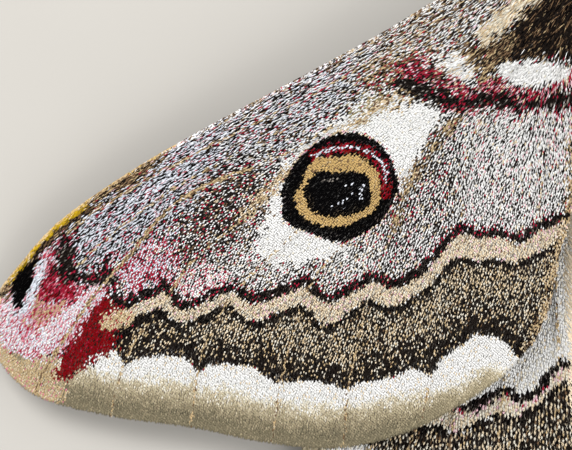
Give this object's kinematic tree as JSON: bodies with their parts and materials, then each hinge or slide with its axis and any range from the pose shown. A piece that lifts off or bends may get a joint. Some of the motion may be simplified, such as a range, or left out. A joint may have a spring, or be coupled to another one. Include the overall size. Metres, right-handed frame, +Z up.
{
  "type": "emperor moth",
  "caption": "Life-size still model of a female emperor moth at rest, with spread eyespotted wings, furred body and short comb-like feelers.",
  "frame": {"origin": "middle of the outline seen from above, at the level of the floor it rests on", "axes": "+Y towards the head, +Z up, X across the wings"},
  "size_m": [0.068, 0.0448, 0.0082],
  "materials": {
    "wing": "dusty, covered in scales",
    "fur": "matt fur",
    "belly_fur": "matt fur",
    "horn": "satin horn",
    "eye": "glossy, faceted"
  },
  "bodies": {
    "root": {"head": "fur", "thorax": "fur", "abdomen": "belly_fur", "eye_left": "eye", "eye_right": "eye", "antenna_left": "horn", "antenna_right": "horn", "forewing_left": "wing", "forewing_right": "wing", "hindwing_left": "wing", "hindwing_right": "wing", "leg_front_left": "fur", "leg_front_right": "fur", "leg_mid_left": "fur", "leg_mid_right": "fur", "leg_hind_left": "fur", "leg_hind_right": "fur"}
  },
  "joints": []
}
